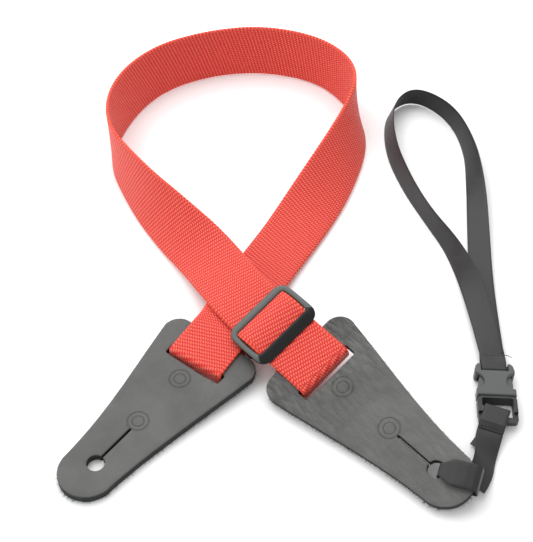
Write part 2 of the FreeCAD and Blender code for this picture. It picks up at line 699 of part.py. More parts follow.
export("tie_base_tail", strip("tie_base_tail", TAIL_ROUTE, TAIL_WIDTH, RIBBON))
export("tie_hitch_over", tie_hitch(True))
export("tie_hitch_under", tie_hitch(False))

show_point("right pivot", RIGHT_SLOT, V(FOLD_CUT, 0, TOP_AT_SLOT + WEBBING / 2))
show_axis("right pivot", RIGHT_SLOT, V(0, -1, 0))
show_point("left pivot", LEFT_SLOT, V(FLEX_REACH, 0, TOP_AT_END + WEBBING / 2))
show_axis("left pivot", LEFT_SLOT, V(0, 1, 0))
show_point("slider middle", RUN_UNDERSIDE, V(PIN_NEAR, 0, 0))
show_axis("slide", RUN, V(-1, 0, 0))
show_point("male bar", BUCKLE, V(MALE_BAR / 2 - MALE_LENGTH, 0, 0))
show_axis("buckle across", BUCKLE, V(0, -1, 0))
show_axis("buckle along", BUCKLE, V(1, 0, 0))
show_point("tie flex", BASE_FOLD, V(BASE_HEM + 0.2, 0, 0))
show_axis("tie flex", BASE_FOLD, V(0, 1, 0))
show_point("prong left", BUCKLE, V(PRONG_ROOT, 4.1, 0))
show_point("prong right", BUCKLE, V(PRONG_ROOT, -4.1, 0))
show_point("female bar", BUCKLE, V(FEMALE_LENGTH - 1.1, 0, 0))
show_point("right hole", RIGHT, V(0, 0, 0))
show_axis("right hole", RIGHT, V(0, 0, 1))
show_point("left slot", LEFT, V(SLOT_AT, 0, 0))
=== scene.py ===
import bpy
import math
import random
from mathutils import Matrix, Vector
from mathutils.geometry import delaunay_2d_cdt


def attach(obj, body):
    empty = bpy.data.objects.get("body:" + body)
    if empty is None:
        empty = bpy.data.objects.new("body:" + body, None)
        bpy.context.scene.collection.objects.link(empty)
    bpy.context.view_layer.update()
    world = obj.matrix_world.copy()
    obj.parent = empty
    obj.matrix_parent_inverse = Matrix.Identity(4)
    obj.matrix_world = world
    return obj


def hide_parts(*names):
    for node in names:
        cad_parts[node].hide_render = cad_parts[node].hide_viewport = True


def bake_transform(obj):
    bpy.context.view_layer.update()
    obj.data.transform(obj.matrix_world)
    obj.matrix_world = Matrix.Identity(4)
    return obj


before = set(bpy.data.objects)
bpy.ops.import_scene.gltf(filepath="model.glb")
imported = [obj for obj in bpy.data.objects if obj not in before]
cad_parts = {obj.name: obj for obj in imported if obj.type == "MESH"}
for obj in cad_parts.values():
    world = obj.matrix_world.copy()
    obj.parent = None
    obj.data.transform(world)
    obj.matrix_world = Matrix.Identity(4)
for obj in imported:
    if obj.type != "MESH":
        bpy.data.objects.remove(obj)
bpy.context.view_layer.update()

MM = 0.001
Y = Vector((0, 1, 0))
Z = Vector((0, 0, 1))

LEATHER = 3.5
TIP_RADIUS = 11.9
TIP_AT = -4.3
TAB_REACH = 74.6
TAB_HALF_WIDTH = 23.4
TAB_CORNER = 7.2
TAB_SIDE = ((20.0, 14.5), (45.0, 19.1))
SIDE_LEAN = 8.5                # degrees between the sides and the tab line, at the tip
EDGE_WOBBLE = 0.04
EDGE_ROUND = 0.45              # inset of the flat faces from the cut edge
HOLE_RADIUS = 3.5
SLIT_WIDTH = 0.9
SLIT_REACH = 19.8
SLOT_AT = 58.8
SLOT_NEAR = 2.3
SLOT_FAR = 3.0
SLOT_LENGTH = 27.6
BEND_START = 7.7
BEND_LENGTH = 30.0
BEND_ANGLE = 3.2
STAMP_AT = (24.4, 49.8)
STAMP_RINGS = ((4.3, 0.42), (2.4, 0.3))
CREASES = (35, 80)             # the creases grow between these distances from the hole

WEBBING_WIDTH = 26.0
WEBBING = 1.6
ARCH_WIDTH = 27.1              # the webbing is squeezed flat and wide inside the slider
TOP_AT_SLOT = 6.62
TOP_AT_END = 7.5
UNDER_HEIGHT = 0.85
FLEX_REACH = 18.8
LEFT_FOLD_AT = 0.25
RIGHT_FOLD_AT = 0.9
FOLD_CUT = 2.4
FOLD_RADIUS = 1.2
UNDER_END = 18.6               # slot line to the end of the layer under the leather
WEAVE_STEP = 0.5               # rows of mesh along the webbing
SCALLOP_PITCH = 1.9            # bumps along its edge
SCALLOP = 0.14
SELVEDGE = (11.9, 12.6)        # where the weave gives way to the woven edge
LOOP_FROM = 8.0                # the loop is its own piece between these distances
LOOP_SHORT_OF_END = 7.0
TAIL_STITCH_AT = (14.0, 20.0)
FLOAT_LENGTH = 1.75            # one raised float of the weave and its gap
FLOAT_ROW = 1.02               # width of one row of floats
FLOAT_LEAN = 0.55              # shift along the webbing for each unit across it

STRAP_ROUTE = [
    (46.74, 62.2, 7.5, 90), (49.75, 66.8, 7, 90), (54.8, 81.3, 4.8, 88),
    (66.6, 103.3, 3.0, 86), (81.1, 128.3, 3.4, 81), (98.6, 159.3, 9.3, 51),
    (111.3, 190.8, 12.8, 25), (109.9, 216.8, 13.3, -9), (94.1, 238.1, 13.1, -11),
    (65.1, 247.6, 13.0, -15), (36.6, 243.9, 13.1, -11), (9.6, 230.6, 13.0, -15),
    (-7.1, 205.1, 13.0, -16), (-10.8, 173.8, 13.4, 1), (6.1, 143.6, 12.8, 20),
    (25.1, 120.8, 9.8, 46), (37.6, 106.4, 8.8, 64), (47.1, 90.3, 11.0, 70),
    (58.2, 71.9, 13.65, 72)]

SLIDER_HALF = 16.1
SLIDER_NEAR = 0.7
SLIDER_FAR = 23.8
SLIDER_CORNER = 4.6
SLIDER_BOW = 0.35
WINDOW_CORNER = 1.7
WINDOW_BOW = 0.15
NEAR_BAR = 5.0
FAR_BAR = 3.5
RAIL = 2.4
RAIL_LOW = 1.3
RAIL_FROM = 13.5               # the bars turn into the rails here, over RAIL_BLEND
RAIL_BLEND = 0.9
NEAR_BAR_TO = 6.2              # the near bar's own height ends here, over NEAR_BLEND
NEAR_BLEND = 2.6
BAR_LOW = 1.9
BAR_TOP = 3.7
NEAR_BAR_RISE = 0.5            # the near bar stands higher
NEAR_BAR_FALL = 2.2            # and slopes down toward the tab
PIN_NEAR = 11.6
PIN_WIDTH = 1.8
PIN_LOW = -4.15
PIN_TOP = -1.95
POST_WIDTH = 2.2
KEEPER_END = 6.2
KEEPER_KNEE = 10.0
KEEPER_TURN = 14.3
KEEPER_LAYERS = (-2.25, -1.05, -5.05, -3.9)   # heights from its top end round to its lower end
KEEPER_RADIUS = 1.3
KEEPER_STITCH = (7.4, -5.0)    # along the run, and height
KEEPER_SLOPE = -17.0
ARCH_FROM = 3.2
ARCH_TO = 22.2
ARCH_FOOT = 0.85               # height of the arch's centre line at its ends
ARCH_RISE = 3.5

STITCH_ROW = 21.0
STITCH_PITCH = 2.4
STITCH_THREAD = 0.5
TIE_STITCH_ROW = 10.0
TIE_STITCH_PITCH = 1.5

RIBBON_WIDTH = 10.4
RIBBON = 0.5
RIBBON_FOLD = 0.7
WRAP_LEVEL = 1.5               # centre height of the ribbon above and below a bar
HEM_HALF_GAP = 0.3
TIE_LEG = 13.35                # buckle seam to the ribbon's vertical leg
TIE_KNEE = 17.4
TIE_HEM = 22.9
BASE_KNEE = 8.0
BASE_HEM = 11.2
TAIL_WIDTH = 8.0
RIB_PITCH = 0.55               # cross rib of the ribbon
RIBBON_EDGE = (4.5, 4.9)       # where its body gives way to its edge
HITCH_HOLE_LEG = 1.2
HITCH_HOLE_WIDTH = 5.2
HITCH_SPREAD = 6.0             # length over which the ribbon opens to its full width
TIE_ROUTE = [
    (160.02, 53.2, 2.85, -90), (160.4, 74.3, 1.9, -90), (161.4, 100.3, 1.3, -83),
    (163.5, 127.3, 2.25, -70), (165.6, 154.3, 3.6, -52), (165.6, 181.3, 5.2, -20),
    (158.6, 206.8, 5.35, -9), (141.2, 221.1, 5.5, 8), (127.8, 208.6, 5.4, 20),
    (126.2, 180.8, 5.4, 24), (132.3, 153.9, 5.6, 17), (140.6, 131.8, 5.5, 8),
    (150.4, 111.8, 5.2, 24), (157.6, 84.3, 4.3, 72), (160.0, 53.2, 3.4, 90)]
BASE_ROUTE = [
    (154.3, 14.6, 3.1, 90), (152.9, 11.1, 3.2, 100), (150.9, 3.2, 3.7, 126),
    (148.6, -4.6, 4.1, 120), (144.4, -10.2, 3.7, 100)]
TAIL_ROUTE = [(153.2, 12.9, 1.9, 90), (151.2, 10.3, 1.8, 88), (149.1, 7.7, 1.7, 84)]


# ---------------------------------------------------------------------- frames
def place(origin, heading=0.0, pitch=0.0, roll=0.0):
    """Matrix whose X axis has the heading; pitch raises X, roll raises Y."""
    turn = Matrix.Rotation(math.radians(heading), 4, "Z")
    turn = turn @ Matrix.Rotation(math.radians(-pitch), 4, "Y")
    turn = turn @ Matrix.Rotation(math.radians(roll), 4, "X")
    return Matrix.Translation(Vector(origin)) @ turn


LEFT = place((0, 0, 0), 51.9)
LEFT_SLOT = LEFT @ place((SLOT_AT, 0, 0), 4.8)
RIGHT = place((131.2, -4.7, 4.45), 132.5, 1.5, -18.0)
RIGHT_SLOT = RIGHT @ place((SLOT_AT, 0, 0))
RUN = RIGHT_SLOT @ place((FLEX_REACH, 0, TOP_AT_END), 0, -1.5)
RUN_LOW = RUN @ place((0, 0, -WEBBING / 2))
BUCKLE = place((158.84, 30.5, 3.1), 87.0)
BASE_FOLD = BUCKLE @ place((-5.2, 0, 0), 161.0)
HITCH = RIGHT @ place((0, 0, 0), -153.0)
LEAN_RIGHT = 72.0


# ------------------------------------------------------------------- materials
class Nodes:
    """Short hand for building a node material."""

    def __init__(self, name, roughness=0.5, specular=0.5):
        self.material = bpy.data.materials.new(name)
        self.material.use_nodes = True
        self.tree = self.material.node_tree
        self.surface = self.tree.nodes["Principled BSDF"]
        self.surface.inputs["Roughness"].default_value = roughness
        self.surface.inputs["Specular IOR Level"].default_value = specular

    def add(self, kind, **inputs):
        node = self.tree.nodes.new(kind)
        for key, value in inputs.items():
            self.feed(node.inputs[key.replace("_", " ")], value)
        return node

    def feed(self, socket, value):
        if isinstance(value, bpy.types.NodeSocket):
            self.tree.links.new(value, socket)
        else:
            socket.default_value = value

    def math(self, kind, a, b=0.0, c=0.0):
        node = self.tree.nodes.new("ShaderNodeMath")
        node.operation = kind
        self.feed(node.inputs[0], a)
        self.feed(node.inputs[1], b)
        self.feed(node.inputs[2], c)
        return node.outputs[0]

    def uv(self):
        """The two coordinates of the surface, in millimetres."""
        split = self.tree.nodes.new("ShaderNodeSeparateXYZ")
        self.tree.links.new(self.tree.nodes.new("ShaderNodeUVMap").outputs[0], split.inputs[0])
        return split.outputs[0], split.outputs[1]

    def uv_vector(self):
        return self.tree.nodes.new("ShaderNodeUVMap").outputs[0]

    def place_vector(self):
        return self.tree.nodes.new("ShaderNodeTexCoord").outputs["Object"]

    def noise(self, vector, scale, detail=3.0, rough=0.55):
        node = self.add("ShaderNodeTexNoise", Vector=vector, Scale=scale, Detail=detail)
        node.inputs["Roughness"].default_value = rough
        return node.outputs["Fac"]

    def voronoi(self, vector, scale):
        node = self.add("ShaderNodeTexVoronoi", Vector=vector, Scale=scale)
        return node.outputs["Distance"]

    def remap(self, value, low, high, to_low=0.0, to_high=1.0):
        node = self.add("ShaderNodeMapRange", Value=value)
        node.inputs["From Min"].default_value = low
        node.inputs["From Max"].default_value = high
        node.inputs["To Min"].default_value = to_low
        node.inputs["To Max"].default_value = to_high
        return node.outputs[0]

    def mix(self, factor, a, b):
        node = self.tree.nodes.new("ShaderNodeMix")
        node.data_type = "RGBA"
        self.feed(node.inputs["Factor"], factor)
        self.feed(node.inputs["A"], a if isinstance(a, bpy.types.NodeSocket) else (*a, 1))
        self.feed(node.inputs["B"], b if isinstance(b, bpy.types.NodeSocket) else (*b, 1))
        return node.outputs["Result"]

    def colour(self, value):
        value = value if isinstance(value, bpy.types.NodeSocket) else (*value, 1)
        self.feed(self.surface.inputs["Base Color"], value)

    def rough(self, value):
        self.feed(self.surface.inputs["Roughness"], value)

    def bump(self, height, distance, strength=1.0):
        """Height in units of distance, which is in millimetres."""
        node = self.add("ShaderNodeBump", Height=height, Strength=strength)
        node.inputs["Distance"].default_value = distance * MM
        self.tree.links.new(node.outputs[0], self.surface.inputs["Normal"])

    def sheen(self, weight, roughness, tint):
        self.surface.inputs["Sheen Weight"].default_value = weight
        self.surface.inputs["Sheen Roughness"].default_value = roughness
        self.surface.inputs["Sheen Tint"].default_value = (*tint, 1)


def wave(n, value, period, shift=0.0):
    """Cosine of a coordinate, from -1 to 1."""
    angle = n.math("MULTIPLY_ADD", value, 2 * math.pi / period, shift)
    return n.math("COSINE", angle)


def webbing_material():
    """Coarse basket weave: short staggered floats, with painted highlights on the floats and painted
    shade in the valleys between.
    """
    n = Nodes("red webbing", 0.5, 0.35)
    along, across = n.uv()
    drift = n.noise(n.uv_vector(), 0.35, 2.0)
    along = n.math("MULTIPLY_ADD", drift, 0.5, along)
    row = n.math("FLOOR", n.math("DIVIDE", across, FLOAT_ROW))
    odd = n.math("MULTIPLY", n.math("PINGPONG", row, 1.0), FLOAT_LENGTH / 2)
    lean = n.math("MULTIPLY_ADD", across, FLOAT_LEAN, along)
    crest = n.math("MULTIPLY_ADD", wave(n, n.math("ADD", lean, odd), FLOAT_LENGTH), 0.5, 0.5)
    valley = n.math("ABSOLUTE", n.math("SINE", n.math("MULTIPLY", across, math.pi / FLOAT_ROW)))
    crest = n.math("MULTIPLY", n.math("POWER", crest, 0.8), n.math("POWER", valley, 0.6))
    fine = n.noise(n.uv_vector(), 2.6, 3.0)
    height = n.math("MULTIPLY_ADD", fine, 0.5, crest)
    float_highlight_mask = n.remap(height, 0.3, 1.15)
    edge = n.remap(n.math("ABSOLUTE", across), *SELVEDGE)
    # the weave's red with painted light: pinkish red on the floats as a painted highlight, near
    # black-red in the valleys as painted shade
    weave_and_painted_light = n.mix(float_highlight_mask, (0.60, 0.008, 0.005), (0.88, 0.15, 0.105))
    cord = wave(n, along, SCALLOP_PITCH)
    selvedge = n.mix(n.remap(cord, -1, 1), (0.68, 0.02, 0.01), (0.9, 0.13, 0.07))
    n.colour(n.mix(edge, weave_and_painted_light, selvedge))
    relief = n.math("MULTIPLY_ADD", edge, 0.6, height)
    n.bump(relief, 0.45, 0.8)
    n.rough(n.remap(float_highlight_mask, 0, 1, 0.62, 0.42))
    n.sheen(0.25, 0.4, (1.0, 0.5, 0.45))
    return n.material


def ribbon_material():
    """Black satin ribbon with a fine cross rib."""
    n = Nodes("black ribbon", 0.45, 0.3)
    along, across = n.uv()
    rib = wave(n, along, RIB_PITCH)
    fine = n.noise(n.uv_vector(), 3.0, 3.0)
    broad = n.noise(n.uv_vector(), 0.12, 2.0)
    edge = n.remap(n.math("ABSOLUTE", across), *RIBBON_EDGE)
    body = n.mix(n.remap(broad, 0.3, 0.7), (0.018, 0.018, 0.019), (0.028, 0.028, 0.029))
    n.colour(n.mix(edge, body, (0.016, 0.016, 0.017)))
    n.bump(n.math("MULTIPLY_ADD", fine, 0.9, n.math("MULTIPLY", rib, 0.5)), 0.05, 0.6)
    n.rough(n.remap(broad, 0.3, 0.7, 0.38, 0.5))
    n.sheen(0.08, 0.35, (0.7, 0.7, 0.72))
    return n.material


def ring(n, u, v, at, radius, line):
    """1 on a stamped ring about a point on the tab, 0 elsewhere."""
    du = n.math("SUBTRACT", u, at)
    distance = n.math("SQRT", n.math("ADD", n.math("MULTIPLY", du, du), n.math("MULTIPLY", v, v)))
    off = n.math("ABSOLUTE", n.math("SUBTRACT", distance, radius))
    return n.remap(off, line * 0.3, line, 1.0, 0.0)


def leather_material(name, wrinkle, painted_light_scale):
    """Smooth dark grey leather with generic stamped rings; one tab is creased, with painted shade
    along its crease lines.
    """
    n = Nodes(name, 0.5, 0.4)
    u, v = n.uv()
    where = n.uv_vector()
    grain = n.voronoi(where, 1.3)
    pores = n.noise(where, 4.0, 3.0)
    broad = n.noise(where, 0.05, 3.0)
    stamp = 0.0
    for at in STAMP_AT:
        for radius, line in STAMP_RINGS:
            stamp = n.math("MAXIMUM", stamp, ring(n, u, v, at, radius, line))
    creases = n.noise(n.add("ShaderNodeMapping", Vector=where, Scale=(0.16, 0.62, 1)).outputs[0],
                      1.0, 6.0, 0.62)
    near_end = n.remap(u, *CREASES, 0.25, 1.0)
    ridge = n.math("ABSOLUTE", n.math("SUBTRACT", creases, 0.5))
    crease = n.math("MULTIPLY", n.math("MULTIPLY", ridge, near_end), wrinkle)
    height = n.math("MULTIPLY_ADD", grain, 0.14, n.math("MULTIPLY", pores, 0.16))
    height = n.math("ADD", height, crease)
    height = n.math("SUBTRACT", height, n.math("MULTIPLY", stamp, 0.55))
    # painted light: the tab's tones are scaled by a brightness factor set per tab
    dull = [c * painted_light_scale for c in (0.066, 0.066, 0.064)]
    bright = [c * painted_light_scale for c in (0.092, 0.092, 0.089)]
    tone = n.mix(n.remap(broad, 0.35, 0.65), dull, bright)
    # painted shade: dark lines along the creases, growing toward the tab's wide end and stronger
    # with the wrinkle, stand for shade in the creases
    line_mask = n.math("MULTIPLY", n.remap(creases, 0.42, 0.6, 1.0, 0.0), near_end)
    tone = n.mix(n.math("MULTIPLY", line_mask, min(1.0, wrinkle * 0.24)), tone, (0.024, 0.024, 0.023))
    tone = n.mix(n.remap(pores, 0.4, 0.62, 0.35, 0.0), tone, (0.03, 0.03, 0.029))
    n.colour(n.mix(n.math("MULTIPLY", stamp, 0.4), tone, (0.03, 0.03, 0.029)))
    n.rough(n.remap(pores, 0.3, 0.7, 0.46, 0.6))
    n.bump(height, 0.6, 0.7)
    return n.material


def leather_edge_material():
    """The cut side of the leather: dark, compressed and fibrous."""
    n = Nodes("leather edge", 0.8, 0.25)
    where = n.place_vector()
    line_mask = n.noise(n.add("ShaderNodeMapping", Vector=where, Scale=(900, 900, 2600)).outputs[0],
                     1.0, 4.0)
    n.colour(n.mix(n.remap(line_mask, 0.3, 0.7), (0.012, 0.014, 0.013), (0.045, 0.05, 0.047)))
    n.bump(line_mask, 0.35, 0.9)
    return n.material


def plastic_material(name, colour, roughness, specular=0.4):
    n = Nodes(name, roughness, specular)
    where = n.place_vector()
    mottled = n.noise(where, 300, 3.0)
    n.colour(n.mix(mottled, colour, [c * 1.15 for c in colour]))
    n.bump(n.noise(where, 2500, 2.0), 0.02, 0.5)
    return n.material


def plain_material(name, colour, roughness):
    n = Nodes(name, roughness, 0.3)
    n.colour(colour)
    return n.material


RED = webbing_material()
BLACK = ribbon_material()
# the two tabs are one leather; the right tab's copy is painted lighter than the left's
LEATHER_LEFT = leather_material("leather left", 0.7, 1.15)
LEATHER_RIGHT = leather_material("leather right", 3.2, 1.5)
LEATHER_EDGE = leather_edge_material()
SLIDER_PLASTIC = plastic_material("slider plastic", (0.008, 0.009, 0.0085), 0.4, 0.22)
# painted light: a lighter copy of the slider's dark plastic for the top faces, where light falls
# from above
SLIDER_LIT_TOP = plastic_material("slider painted lit top", (0.07, 0.08, 0.075), 0.42)
BUCKLE_PLASTIC = plastic_material("buckle plastic", (0.058, 0.063, 0.061), 0.42)
MALE_PLASTIC = plastic_material("buckle male plastic", (0.022, 0.024, 0.023), 0.42, 0.3)
RED_THREAD = plain_material("red thread", (0.62, 0.03, 0.02), 0.7)
BLACK_THREAD = plain_material("black thread", (0.012, 0.012, 0.012), 0.6)


# ---------------------------------------------------------------- mesh helpers
def make_mesh(name, verts, faces, materials, uvs=None, slots=None, smooth=True):
    """verts in millimetres, uvs one pair per vertex, slots one index per face."""
    mesh = bpy.data.meshes.new(name)
    mesh.from_pydata([Vector(v) * MM for v in verts], [], faces)
    for material in materials:
        mesh.materials.append(material)
    for i, polygon in enumerate(mesh.polygons):
        polygon.use_smooth = smooth
        if slots:
            polygon.material_index = slots[i]
    if uvs:
        layer = mesh.uv_layers.new(name="UVMap")
        for loop in mesh.loops:
            layer.data[loop.index].uv = uvs[loop.vertex_index]
    mesh.update()
    obj = bpy.data.objects.new(name, mesh)
    bpy.context.scene.collection.objects.link(obj)
    return obj


def finish_piece(obj, body=None, replaces=()):
    if replaces:
        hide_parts(*replaces)
    if body:
        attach(obj, body)
    return obj


def flat_section(half, thickness, steps, round_steps=3):
    """Outline of a flat strip with round edges, as (across, up) pairs."""
    r = thickness / 2
    inner = half - r
    top = [(-inner + 2 * inner * i / steps, r) for i in range(steps + 1)]
    right = [(inner + r * math.sin(a), r * math.cos(a))
             for a in [math.pi * k / (round_steps + 1) for k in range(1, round_steps + 1)]]
    bottom = [(x, -r) for x, _ in reversed(top)]
    left = [(-x, z) for x, z in reversed(right)]
    return top + right + bottom + left


def sweep(name, rows, width, thickness, material, steps=12, scallop=0.0, pitch=1.0,
          start=0.0, caps=True, widths=None):
    """Strip mesh through rows of (centre, across, normal).  Returns the object."""
    verts = []
    uvs = []
    faces = []
    walked = start
    for i, (p, w, n) in enumerate(rows):
        if i:
            walked += (p - rows[i - 1][0]).length
        half = width / 2 if widths is None else widths[i] / 2
        half += scallop * (abs(math.sin(math.pi * walked / pitch)) - 0.6)
        section = flat_section(half, thickness, steps)
        for x, z in section:
            verts.append(p + w * x + n * z)
            uvs.append((walked, x * width / 2 / half))
    k = len(section)
    for i in range(len(rows) - 1):
        for j in range(k):
            a, b = i * k + j, i * k + (j + 1) % k
            faces.append((a, b, b + k, a + k))
    if caps:
        for first in (0, (len(rows) - 1) * k):
            cap = range(len(verts), len(verts) + k)
            verts += verts[first:first + k]
            uvs += uvs[first:first + k]
            faces.append(tuple(cap) if first else tuple(reversed(cap)))
    return make_mesh(name, verts, faces, [material], uvs)


def nurbs_points(route, per_span):
    """Points of a quadratic NURBS with the route as its control points."""
    curve = bpy.data.curves.new("route", "CURVE")
    curve.dimensions = "3D"
    spline = curve.splines.new("NURBS")
    spline.points.add(len(route) - 1)
    for point, co in zip(spline.points, route):
        point.co = (*co, 1)
    spline.order_u = 3
    spline.use_endpoint_u = True
    curve.resolution_u = per_span
    obj = bpy.data.objects.new("route", curve)
    mesh = bpy.data.meshes.new_from_object(obj)
    points = [v.co.copy() for v in mesh.vertices]
    bpy.data.objects.remove(obj)
    bpy.data.curves.remove(curve)
    bpy.data.meshes.remove(mesh)
    return points


def route_rows(route, step):
    """Evenly spaced (centre, across, normal) rows along a leaning route."""
    points = nurbs_points([r[:3] for r in route], 40)
    leans = [p.x * 100 for p in nurbs_points([(r[3] / 100, 0, 0) for r in route], 40)]
    lengths = [0.0]
    for a, b in zip(points, points[1:]):
        lengths.append(lengths[-1] + (b - a).length)
    count = max(2, round(lengths[-1] / step))
    spots = []
    at = 0
    for i in range(count + 1):
        s = lengths[-1] * i / count
        while at < len(points) - 2 and lengths[at + 1] < s:
            at += 1
        f = (s - lengths[at]) / max(1e-9, lengths[at + 1] - lengths[at])
        spots.append((points[at].lerp(points[at + 1], f), leans[at] * (1 - f) + leans[at + 1] * f))
    rows = []
    for i, (p, lean) in enumerate(spots):
        d = spots[min(i + 1, count)][0] - spots[max(i - 1, 0)][0]
        d.normalize()
        side = Vector((-d.y, d.x, 0)).normalized()
        up = d.cross(side)
        a = math.radians(lean)
        w = up * math.cos(a) + side * math.sin(a)
        rows.append((p, w, d.cross(w)))
    return rows


def folded_rows(profile, radius, frame_, step=0.5, flip=False):
    """Rows along a profile folded in the XZ plane of a frame."""
    pts = [Vector((x, 0, z)) for x, z in profile]
    line = [pts[0]]
    for a, b, c in zip(pts, pts[1:], pts[2:]):
        back = (a - b).normalized()
        ahead = (c - b).normalized()
        half = back.angle(ahead) / 2
        reach = radius / math.tan(half)
        centre = b + (back + ahead).normalized() * (radius / math.sin(half))
        first = b + back * reach - centre
        last = b + ahead * reach - centre
        for k in range(9):
            line.append(centre + first.slerp(last, k / 8))
    line.append(pts[-1])
    even = []
    for a, b in zip(line, line[1:]):
        n = max(1, math.ceil((b - a).length / step))
        for k in range(n):
            even.append(a.lerp(b, k / n))
    even.append(line[-1])
    rows = []
    turn = frame_.to_3x3()
    for i, p in enumerate(even):
        d = (even[min(i + 1, len(even) - 1)] - even[max(i - 1, 0)]).normalized()
        n = d.cross(Y) * (-1 if flip else 1)
        rows.append((frame_ @ p, turn @ Y, turn @ n))
    return rows


def total_length(rows):
    return sum((b[0] - a[0]).length for a, b in zip(rows, rows[1:]))


# --------------------------------------------------------------------- leather
def tab_rise(u):
    """Height of the tab's underside: flat by the hole, an arc, then a straight slope."""
    slope = math.radians(BEND_ANGLE)
    if u <= BEND_START:
        return 0.0
    radius = BEND_LENGTH / slope
    if u <= BEND_START + BEND_LENGTH:
        return radius * (1 - math.cos((u - BEND_START) / radius))
    return radius * (1 - math.cos(slope)) + (u - BEND_START - BEND_LENGTH) * math.tan(slope)


def side_width(u):
    """Half width of the tab between its round tip and its wide end."""
    lean = math.radians(SIDE_LEAN)
    knots = [(TIP_AT - TIP_RADIUS * math.sin(lean), TIP_RADIUS * math.cos(lean)), *TAB_SIDE,
             (TAB_REACH - TAB_CORNER, TAB_HALF_WIDTH)]
    total = 0.0
    for i, (ui, vi) in enumerate(knots):
        term = vi
        for j, (uj, _) in enumerate(knots):
            if i != j:
                term *= (u - uj) / (ui - uj)
        total += term
    return total


def tab_loop(seed):
    """Outline of the tab, counter-clockwise from the tip."""
    lean = math.radians(SIDE_LEAN)
    half = []
    steps = 22
    for k in range(steps + 1):
        a = math.pi - (math.pi / 2 - lean) * k / steps
        half.append((TIP_AT + TIP_RADIUS * math.cos(a), TIP_RADIUS * math.sin(a)))
    start = half[-1][0]
    shoulder = TAB_REACH - TAB_CORNER
    for k in range(1, 61):
        u = start + (shoulder - start) * k / 60
        half.append((u, side_width(u)))
    for k in range(1, 13):
        a = math.pi / 2 * (1 - k / 12)
        half.append((shoulder + TAB_CORNER * math.cos(a),
                     TAB_HALF_WIDTH - TAB_CORNER + TAB_CORNER * math.sin(a)))
    end = TAB_HALF_WIDTH - TAB_CORNER
    half += [(TAB_REACH, end * (1 - k / 10)) for k in range(1, 11)]
    other = [(u, -v) for u, v in reversed(half[1:-1])]
    loop = [Vector(p) for p in half + other]
    rng = random.Random(seed)
    return [p + Vector((rng.uniform(-1, 1), rng.uniform(-1, 1))) * EDGE_WOBBLE
            for p in reversed(loop)]


def keyhole_loop():
    """Button hole with its slit, clockwise."""
    half = SLIT_WIDTH / 2
    start = math.asin(half / HOLE_RADIUS)
    loop = []
    for k in range(33):
        a = start + (2 * math.pi - 2 * start) * k / 32
        loop.append(Vector((HOLE_RADIUS * math.cos(a), HOLE_RADIUS * math.sin(a))))
    near = loop[-1].x
    lower = [Vector((near + (SLIT_REACH - near) * k / 20, -half)) for k in range(1, 21)]
    upper = [Vector((p.x, half)) for p in reversed(lower)]
    return list(reversed(loop + lower + [Vector((SLIT_REACH + 0.3, 0))] + upper))


def slot_loop():
    """Webbing slot, clockwise."""
    y = SLOT_LENGTH / 2
    r = 1.0
    far = SLOT_FAR - r
    near = r - SLOT_NEAR
    loop = []
    for cx, cy, first in ((far, y - r, 0), (near, y - r, 90), (near, r - y, 180), (far, r - y, 270)):
        for k in range(6):
            a = math.radians(first + 18 * k)
            loop.append(Vector((SLOT_AT + cx + r * math.cos(a), cy + r * math.sin(a))))
    return list(reversed(loop))


def inset(loop, distance):
    """Loop moved into the material by a distance."""
    out = []
    for i, p in enumerate(loop):
        d = (loop[(i + 1) % len(loop)] - loop[i - 1]).normalized()
        out.append(p + Vector((-d.y, d.x)) * distance)
    return out


def inside(p, loop):
    hit = False
    for a, b in zip(loop, loop[1:] + loop[:1]):
        if (a.y > p.y) != (b.y > p.y):
            if p.x < a.x + (b.x - a.x) * (p.y - a.y) / (b.y - a.y):
                hit = not hit
    return hit


def fill(loops, spacing):
    """Triangles between an outer loop and its holes, with inner points."""
    points = []
    edges = []
    for loop in loops:
        first = len(points)
        points += loop
        edges += [(first + i, first + (i + 1) % len(loop)) for i in range(len(loop))]
    lined = [Vector(p) for p in points]
    nu = int(TAB_REACH / spacing)
    nv = int(TAB_HALF_WIDTH / spacing)
    for i in range(-int((TIP_RADIUS - TIP_AT) / spacing), nu + 1):
        for j in range(-nv, nv + 1):
            p = Vector((i * spacing, (j + 0.5 * (i % 2)) * spacing))
            if not inside(p, loops[0]) or any(inside(p, h) for h in loops[1:]):
                continue
            if min((p - q).length_squared for q in lined) > (0.5 * spacing) ** 2:
                points.append(p)
    verts, _, faces, *_ = delaunay_2d_cdt(points, edges, [], 0, 1e-6)
    kept = []
    for f in faces:
        c = (verts[f[0]] + verts[f[1]] + verts[f[2]]) / 3
        if inside(c, loops[0]) and not any(inside(c, h) for h in loops[1:]):
            kept.append(tuple(f))
    return verts, kept


